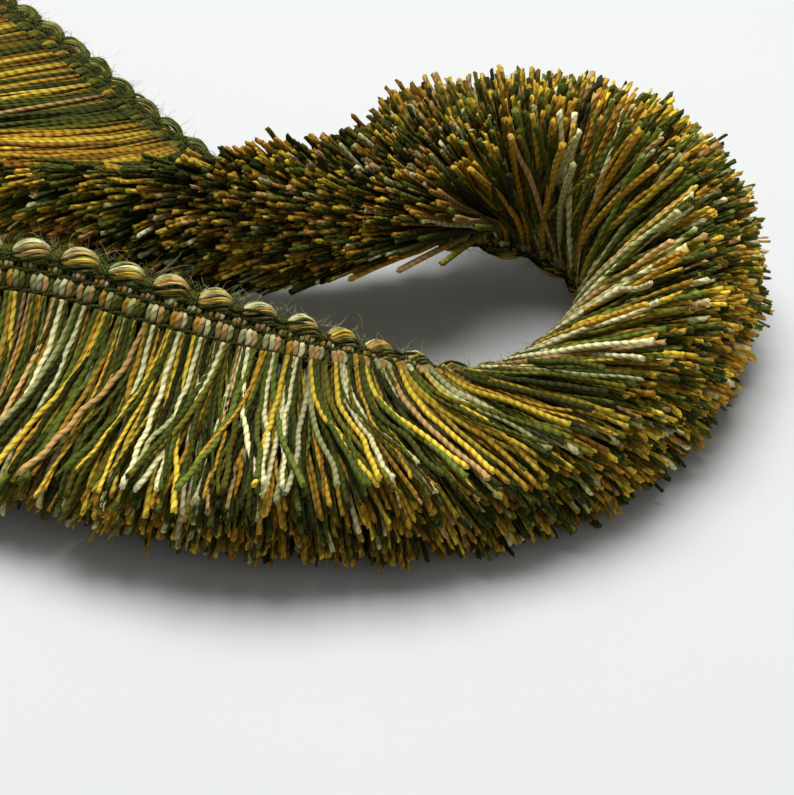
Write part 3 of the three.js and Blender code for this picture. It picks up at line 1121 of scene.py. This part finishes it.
@dataclass
class Heading:
    """The woven band: a ground, two rows of weft beads on each side, and twined warps."""

    fold: Fold
    finish: YarnFinish
    warp_finish: YarnFinish
    seed: int = 23
    flat_width: float = 10.0
    bead_pitch: float = 4.0

    ground_top: float = 7.4
    ground_half: float = 0.55
    ground_step: float = 2.0
    ground_rows: int = 10
    ground_margin: float = 0.3
    ripple: float = 0.12

    bead_rows: tuple[BeadRow, ...] = (
        BeadRow(0.55, 3.75, 1.3, 0.6, 0.5, 0, 7, 5, 0.1),
        # The upper row's low tone is painted shade: it lies partly hidden under the puffs.
        BeadRow(3.85, 5.5, 0.8, 0.5, 0.0, 3, 5, 4, -0.9),
    )
    bright_wefts: int = 3
    weft_spacing: float = 1.75
    weft_spread: float = 0.1
    weft_margin: float = 0.6
    weft_slant: float = 0.16
    weft_base: float = 0.35
    bulge_shape: float = 0.55
    crown_fall: float = 0.18
    dark_crown: float = 0.45
    crown_spread: float = 0.06
    height_spread: float = 0.08
    gather: float = 0.3
    taper: float = 0.2
    tone_spread: float = 0.4
    # The beads take part of the yarn finish's painted shade towards the root: darker at their low end.
    weft_along: Pair = (0.6, 0.9)

    warp_heights: tuple[float, ...] = (0.4, 3.8, 5.5)
    warp_radius: float = 0.36
    warp_step: float = 1.0
    warp_margin: float = 0.4
    warp_twine: float = 0.3
    warp_stand: float = 1.05
    warp_drift: Pair = (5.0, 0.06)
    warp_tone: float = 0.2

    def build_ground(self) -> bpy.types.Object:
        """The thin band that everything is woven through, as rings up its face and down its back.

        Returns:
            The piece.
        """
        rows = self.ground_rows
        count = int(self.fold.length / self.ground_step)
        s = np.linspace(self.ground_margin, self.fold.length - self.ground_margin, count)
        heights = np.linspace(0, self.ground_top, rows)
        grid_s, grid_h = np.meshgrid(s, np.concatenate([heights, heights[::-1]]), indexing="ij")
        ripple = self.ripple * np.sin(grid_s * np.pi) * np.cos(grid_h * np.pi)
        stand = self.ground_half * np.repeat([1, -1], rows) + ripple
        points = self.fold.heading_points(grid_s.ravel(), grid_h.ravel(), stand.ravel())
        ring = 2 * rows
        start, k = np.meshgrid(np.arange(count - 1) * ring, np.arange(ring), indexing="ij")
        here, beside = start + k, start + (k + 1) % ring
        walls = np.stack([here, here + ring, beside + ring, beside], -1).reshape(-1, 4)
        j = np.arange(rows - 1)
        end = np.stack([j, j + 1, ring - 2 - j, ring - 1 - j], -1)
        faces = np.concatenate([walls, end, end[:, ::-1] + (count - 1) * ring])
        mesh = bpy.data.meshes.new("heading_ground")
        mesh.from_pydata(self.fold.in_scene(points).tolist(), [], faces.tolist())
        mesh.update()
        mesh.polygons.foreach_set("use_smooth", np.ones(len(faces), bool))
        flat = np.stack([grid_h.ravel(), grid_s.ravel()], -1)[faces.ravel()]
        mesh.uv_layers.new(name="yarn").data.foreach_set("uv", flat.astype(np.float32).ravel())
        for key, value in (("dye", Dye.PINE.place), ("tone", 0.0), ("along", 1.0)):
            set_values(mesh, key, np.full(len(points), value))
        mesh.materials.append(self.warp_finish.material())
        return placed("heading_ground", mesh)

    def build_beads(self) -> bpy.types.Object:
        """The weft bundles, which swell out between the warps on the face and on the back.

        Returns:
            The piece.
        """
        rng = np.random.default_rng(self.seed)
        tubes = Tubes(self.fold)
        for row in self.bead_rows:
            for side, sets in ((1, WEFT_BEADS), (-1, BACK_BEADS)):
                self.add_beads(tubes, rng, row, side, sets)
        return tubes.piece("heading_wefts", self.finish.material())

    def add_beads(
        self, tubes: Tubes, rng: np.random.Generator, row: BeadRow, side: int, sets: Array
    ) -> None:
        """Adds one row of beads on one side of the heading.

        Args:
            tubes: what they are added to.
            rng: the source of chance.
            row: the row's sizes.
            side: 1 for the face and -1 for the back.
            sets: the wefts' places on the ramp of dyes, one set in each row.
        """
        beads = int(self.fold.length / self.bead_pitch)
        pitch = self.fold.length / beads
        bead, weft = np.meshgrid(np.arange(beads), np.arange(self.bright_wefts + 1), indexing="ij")
        bead, weft = bead.ravel(), weft.ravel()
        count = len(bead)
        # The last weft of each bead is dark and lies in the gap between beads, as painted shade there.
        bright = weft < self.bright_wefts
        place = weft - (self.bright_wefts - 1) / 2
        ends = (self.weft_margin, self.fold.length - self.weft_margin)
        spread = np.where(bright, place * self.weft_spacing * row.radius, pitch / 2)
        centre = (bead + row.offset) * pitch
        s = (centre + spread + rng.normal(0, self.weft_spread, count)).clip(*ends)
        reach = np.linspace(0, 1, row.rings)
        bulge = np.sin(np.pi * reach) ** self.bulge_shape
        crown = np.where(bright, 1 - self.crown_fall * place**2, self.dark_crown)
        crown = crown + rng.normal(0, self.crown_spread, count)
        slant = rng.normal(0, self.weft_slant, count)[:, None] * (reach[None] - 0.5)
        height = row.low + (row.high - row.low) * reach[None] + rng.normal(0, self.height_spread, (count, 1))
        stand = side * (self.weft_base + row.stand * crown[:, None] * bulge[None])
        gathered = centre[:, None] + (s - centre)[:, None] * (1 - self.gather + self.gather * bulge[None])
        tubes.add(
            self.fold.heading_points((gathered + slant).clip(*ends), height, stand),
            row.radius * (1 - self.taper + self.taper * bulge),
            self.fold.at(s).along,
            sets[bundle_of(bead + row.order) % len(sets), weft],
            (row.tone + rng.normal(0, self.tone_spread, count)).clip(-1, 1),
            row.sides,
            phase=rng.random(count),
            along=self.weft_along,
        )

    def build_warps(self) -> bpy.types.Object:
        """Pairs of dark threads twined round each other along the edges of the rows of beads.

        Returns:
            The piece.
        """
        rng = np.random.default_rng(self.seed + 1)
        tubes = Tubes(self.fold)
        count = int(self.fold.length / self.warp_step)
        s = np.linspace(self.warp_margin, self.fold.length - self.warp_margin, count)[None]
        for height in self.warp_heights:
            for side in (1, -1):
                for strand in (0, 0.5):
                    turn = TURN * (s / self.bead_pitch + strand)
                    rise = height + self.warp_twine * np.sin(turn) + drifting(rng, s, *self.warp_drift)
                    stand = side * (self.warp_stand + self.warp_twine * np.cos(turn))
                    lines = self.fold.heading_points(s, rise, stand)
                    hint = self.fold.middle().up
                    tubes.add(lines, self.warp_radius, hint, Dye.PINE.place, self.warp_tone, 4)
        return tubes.piece("heading_warps", self.warp_finish.material())

    def build(self) -> None:
        """Makes the ground, the beads and the warps."""
        ground = self.build_ground()
        beads = self.build_beads()
        warps = self.build_warps()
        for piece in (ground, beads, warps):
            settle(piece, Slot.HEADING, "heading")
        self.fold.length * METRES


@dataclass(frozen=True)
class HairKind:
    """One kind of loose fibre: its dye and radius, and its share of the length and the lean."""

    dye: Dye
    radius: float
    length: float
    lean: float


@dataclass
class LoopedEdge:
    """The looped edge: puffs of soft strands between dark ties, and a fuzz of loose fibres.
    Its heights are counted from base, which lies that far above the skirt's roots."""

    fold: Fold
    finish: YarnFinish
    tie_finish: YarnFinish
    hair_finish: HairFinish
    seed: int = 31
    loop_pitch: float = 8.0
    base: float = 5.3
    forward: float = 0.25

    radius: float = 2.3
    core: float = 0.15
    uneven: float = 0.09
    strands: int = 24
    first_strand: int = 3
    strand_radius: float = 0.29
    strand_swell: Pair = (0.8, 0.25)
    strand_drift: float = 0.02
    slant: float = 1.6
    puff_reach: Pair = (0.13, 0.87)
    puff_rings: int = 9
    puff_margin: float = 0.3
    puff_height: Pair = (1.1, 0.8)
    tied_share: float = 0.1
    swell_shape: float = 0.42
    puff_tone: float = 0.6
    puff_tone_limit: float = 1.2

    tie_turns: int = 3
    tie_points: int = 13
    tie_height: float = 1.2
    tie_radius: float = 0.36
    tie_out: Pair = (0.95, 0.08)
    tie_depth: float = 1.1
    tie_spacing: float = 0.55
    tie_slant: float = 0.4
    tie_margin: float = 0.9
    tie_tone: float = 0.3

    # The threads that run along the puffs, on their backs, their tops and low on their faces,
    # each by its angle in radians round the puff, from the top towards the face.
    threads: tuple[tuple[float, Dye], ...] = ((-1.2, Dye.FOREST), (-0.3, Dye.FOREST), (1.9, Dye.PINE))
    thread_radius: float = 0.28
    thread_step: float = 0.9
    thread_margin: float = 0.5
    thread_out: Pair = (0.7, 1.2)
    thread_rise: float = 0.7
    thread_bow: float = 0.7
    thread_spacing: float = 3.0
    thread_drift: Pair = (0.16, 0.3)
    thread_tone: float = 0.1

    hairs: int = 2400
    green_share: float = 0.62
    green_hair: HairKind = HairKind(Dye.LEAF, 0.045, 0.7, 1.8)
    pale_hair: HairKind = HairKind(Dye.CREAM, 0.03, 1.0, 1.0)
    hair_ring: float = 1.7
    hair_height: float = 1.9
    hair_middle: float = 1.4
    hair_margin: float = 1.0
    hair_around: float = 1.1
    hair_lean: float = 1.1
    hair_scatter: float = 0.3
    hair_gamma: Pair = (2.4, 0.75)
    hair_lengths: Pair = (0.7, 5.5)
    hair_points: int = 4
    hair_curl: float = 0.22
    curl_turn: float = 0.8
    hair_taper: float = 0.6
    hair_tone: float = 0.5

    @property
    def loops(self) -> int:
        """How many puffs the edge has."""
        return round(self.fold.length / self.loop_pitch)

    @property
    def pitch(self) -> float:
        """How far apart the puffs are once they fill the strip evenly."""
        return self.fold.length / self.loops

    def build_puffs(self) -> bpy.types.Object:
        """Strands that run from tie to tie and bow out between them.

        Returns:
            The piece.
        """
        rng = np.random.default_rng(self.seed)
        tubes = Tubes(self.fold)
        loop, strand = np.meshgrid(np.arange(self.loops), np.arange(self.strands), indexing="ij")
        loop, strand = loop.ravel(), strand.ravel()
        count = len(loop)
        reach = np.linspace(*self.puff_reach, self.puff_rings)[None]
        open_share = (reach - self.tied_share) / (1 - 2 * self.tied_share)
        swell = np.sin(np.pi * open_share) ** self.swell_shape
        around = TURN * (strand / self.strands + rng.normal(0, self.strand_drift, count))[:, None]
        around = around + self.slant * (reach - 0.5)
        full = self.radius - self.strand_radius - self.core + rng.normal(0, self.uneven, count)[:, None]
        out = self.core + full * swell
        height = self.base + self.puff_height[0] + self.puff_height[1] * swell - out * np.cos(around)
        ends = (self.puff_margin, self.fold.length - self.puff_margin)
        s = ((loop[:, None] + reach) * self.pitch).clip(*ends)
        tubes.add(
            self.fold.heading_points(s, height, self.forward + out * np.sin(around)),
            self.strand_radius * (self.strand_swell[0] + self.strand_swell[1] * swell),
            self.fold.at((loop + 0.5) * self.pitch).outward,
            PUFFS[puff_of(loop), (strand - self.first_strand) % self.strands],
            rng.normal(0, self.puff_tone, count).clip(-self.puff_tone_limit, self.puff_tone_limit),
            4,
            phase=rng.random(count),
        )
        return tubes.piece("edge_puffs", self.finish.material())

    def build_ties(self) -> bpy.types.Object:
        """Dark threads wrapped round the edge between the puffs, and threads that run along them.

        Returns:
            The piece.
        """
        rng = np.random.default_rng(self.seed + 1)
        tubes = Tubes(self.fold)
        tie = np.arange(self.loops + 1)
        centre = (tie * self.pitch).clip(self.tie_margin, self.fold.length - self.tie_margin)
        reach = np.linspace(0, 1, self.tie_points)[None] - 0.5
        for turn in range(self.tie_turns):
            around = np.linspace(0, TURN, self.tie_points)[None] + rng.random((len(tie), 1))
            out = self.tie_out[0] + self.tie_out[1] * turn
            aside = (turn - (self.tie_turns - 1) / 2) * self.tie_spacing
            s = centre[:, None] + aside + self.tie_slant * reach
            height = self.base + self.tie_height - out * np.cos(around)
            lines = self.fold.heading_points(s, height, self.tie_depth * out * np.sin(around))
            tone = rng.normal(0, self.tie_tone, len(tie))
            tubes.add(lines, self.tie_radius, self.fold.at(centre).along, Dye.FOREST.place, tone, 5)
        count = int(self.fold.length / self.thread_step)
        s = np.linspace(self.thread_margin, self.fold.length - self.thread_margin, count)[None]
        bow = np.abs(np.sin(np.pi * s / self.pitch)) ** self.thread_bow
        out = self.thread_out[0] + self.thread_out[1] * bow
        middle = self.base + self.tie_height + self.thread_rise * bow
        for angle, dye in self.threads:
            rise, stray = (
                way * out + drifting(rng, s, self.thread_spacing, spread)
                for way, spread in zip((math.cos(angle), math.sin(angle)), self.thread_drift)
            )
            lines = self.fold.heading_points(s, middle + rise, self.forward + stray)
            tubes.add(lines, self.thread_radius, self.fold.middle().up, dye.place, self.thread_tone, 5)
        return tubes.piece("edge_ties", self.tie_finish.material())

    def build_fuzz(self) -> bpy.types.Object:
        """Loose fibres that stand off the looped edge, most of them from its top.

        Returns:
            The piece.
        """
        rng = np.random.default_rng(self.seed + 2)
        tubes = Tubes(self.fold)
        n = self.hairs
        s = rng.uniform(self.hair_margin, self.fold.length - self.hair_margin, n)
        around = rng.normal(np.pi, self.hair_around, n)
        height = self.base + self.hair_height - self.hair_ring * np.cos(around)
        root = self.fold.heading_points(s, height, self.forward + self.hair_ring * np.sin(around))
        middle = self.fold.heading_points(s, np.full(n, self.base + self.hair_middle), np.zeros(n))
        green = rng.random((n, 1)) < self.green_share
        kinds = (self.green_hair, self.pale_hair)
        lean_share, length_share, radius = (
            np.where(green, *(getattr(kind, key) for kind in kinds)) for key in ("lean", "length", "radius")
        )
        lean = self.fold.at(s).along * rng.normal(0, self.hair_lean, (n, 1)) * lean_share
        length = rng.gamma(*self.hair_gamma, (n, 1)).clip(*self.hair_lengths) * length_share
        reach = np.linspace(0, 1, self.hair_points)
        way = unit(unit(root - middle) + lean + rng.normal(0, self.hair_scatter, (n, 3)))
        curl = unit(rng.normal(0, 1, (n, 3)))
        bow = self.hair_curl * length * np.sin(np.pi * reach[None] * self.curl_turn) ** 2
        lines = root[:, None] + way[:, None] * (length * reach)[..., None] + curl[:, None] * bow[..., None]
        tubes.add(
            lines,
            radius * (1 - self.hair_taper * reach)[None],
            np.cross(way, curl),
            np.where(green[:, 0], *(kind.dye.place for kind in kinds)),
            rng.normal(0, self.hair_tone, n).clip(-1, 1),
            3,
            along=(0.0, 1.0),
        )
        return tubes.piece("edge_fuzz", self.hair_finish.material())

    def build(self) -> None:
        """Makes the puffs, the ties and the fuzz."""
        for piece in (self.build_puffs(), self.build_ties(), self.build_fuzz()):
            settle(piece, Slot.EDGE, "looped_edge")


@dataclass
class Studio:
    """A plain pale table, a strong soft light above and a weak one in front, and the camera."""

    target: tuple[float, float, float] = (0.02469, -0.0388, 0.015)
    distance: float = 0.56
    elevation: float = 38.0
    lens: float = 150.0
    sensor: float = 36.0
    clip: Pair = (0.02, 20.0)
    floor_size: float = 6.0
    key_power: float = 11.4
    key_size: float = 0.6
    key_place: tuple[float, float, float] = (0.0, 0.16, 0.9)
    fill_power: float = 0.35
    fill_size: float = 0.8
    fill_place: tuple[float, float, float] = (0.35, -0.9, 0.7)
    sky: Colour = (0.95, 0.98, 1.0, 1.0)
    sky_strength: float = 0.25

    def build(self) -> None:
        """Makes the table, the camera, the lights and the world."""
        self.build_table()
        self.build_camera()
        self.light("key", self.key_power, self.key_size, self.key_place)
        self.light("fill", self.fill_power, self.fill_size, self.fill_place)
        world = bpy.data.worlds.new("soft_room")
        world.use_nodes = True
        background = world.node_tree.nodes["Background"]
        background.inputs["Color"].default_value = self.sky
        background.inputs["Strength"].default_value = self.sky_strength
        scene = bpy.context.scene
        scene.world = world
        scene.view_settings.view_transform = "Standard"
        scene.view_settings.look = "None"

    def build_table(self) -> None:
        """A wide plain table top, level with the foot of the part."""
        mesh = bpy.data.meshes.new("table_top")
        half = self.floor_size / 2
        corners = [(-half, -half, 0), (half, -half, 0), (half, half, 0), (-half, half, 0)]
        mesh.from_pydata(corners, [], [(0, 1, 2, 3)])
        mesh.materials.append(FloorFinish().material())
        table = placed("table_top", mesh)

    def build_camera(self) -> None:
        """Looks along +Y and down at the fold."""
        turn = math.radians(self.elevation)
        back = Vector((0, -math.cos(turn), math.sin(turn)))
        data = bpy.data.cameras.new("camera")
        data.lens = self.lens
        data.sensor_width = self.sensor
        data.clip_start, data.clip_end = self.clip
        camera = placed("camera", data)
        camera.location = Vector(self.target) + back * self.distance
        camera.rotation_mode = "QUATERNION"
        camera.rotation_quaternion = (-back).to_track_quat("-Z", "Y")
        bpy.context.scene.camera = camera

    def light(self, name: str, power: float, size: float, place: Sequence[float]) -> None:
        """Adds a square soft light that faces the middle of the fringe.

        Args:
            name: the light's name.
            power: its power in watts.
            size: the length of its side.
            place: where it stands.
        """
        data = bpy.data.lights.new(name, "AREA")
        data.energy = power
        data.size = size
        lamp = placed(name, data)
        lamp.location = place
        lamp.rotation_mode = "QUATERNION"
        lamp.rotation_quaternion = (-Vector(place)).to_track_quat("-Z", "Y")


def main() -> None:
    """Builds the fringe and the studio in order."""
    logging.basicConfig(level=logging.INFO, format="%(name)s %(message)s")
    fold = Fold()
    Studio().build()
    Skirt(fold, YarnFinish("skirt_two_ply", shade=1.14)).build()
    weft = YarnFinish("heading_weft", ply_pitch=-3.0, shade=0.68, fleck_share=0.16, fibre_light=0.65)
    warp = YarnFinish("heading_warp", ply_pitch=1.2)
    Heading(fold, weft, warp).build()
    puff = YarnFinish("edge_soft_strand", ply_pitch=-9.0, groove_painted_shade=0.2, fleck_share=0.3, fibre_light=0.7)
    LoopedEdge(fold, puff, warp, HairFinish("edge_loose_fibre")).build()


if __name__ == "__main__":
    main()
